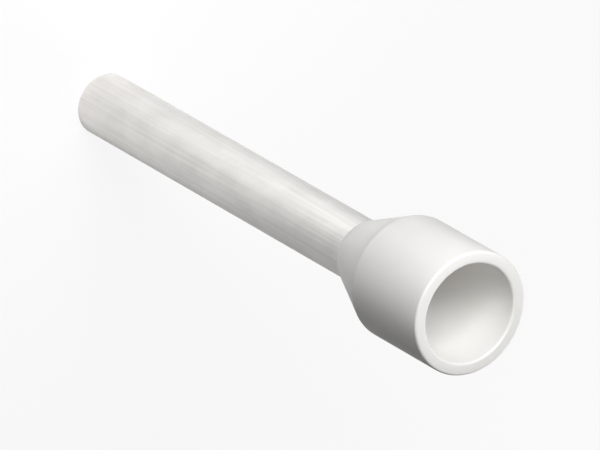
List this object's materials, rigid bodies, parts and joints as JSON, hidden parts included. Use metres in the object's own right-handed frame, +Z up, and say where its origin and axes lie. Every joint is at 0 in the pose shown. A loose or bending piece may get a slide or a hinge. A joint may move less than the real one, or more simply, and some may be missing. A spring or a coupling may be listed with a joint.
{
  "type": "wire ferrule",
  "caption": "Insulated wire ferrule: a thin tin-plated copper sleeve flared inside a white plastic collar, whose open socket takes the end of the wire's insulation.",
  "frame": {"origin": "the centre of the sleeve's cut end, on the surface that the ferrule stands on", "axes": "+Z up the axis of the ferrule, from the cut end of the sleeve to the mouth of the collar; X and Y are across"},
  "size_m": [0.0048, 0.0048, 0.0243],
  "materials": {
    "collar_plastic": "moulded white polypropylene, fine satin skin",
    "tin_plated_copper": "drawn copper tube with a satin tin plating"
  },
  "bodies": {
    "root": {"plastic_collar": "collar_plastic", "metal_sleeve": "tin_plated_copper"}
  },
  "joints": []
}
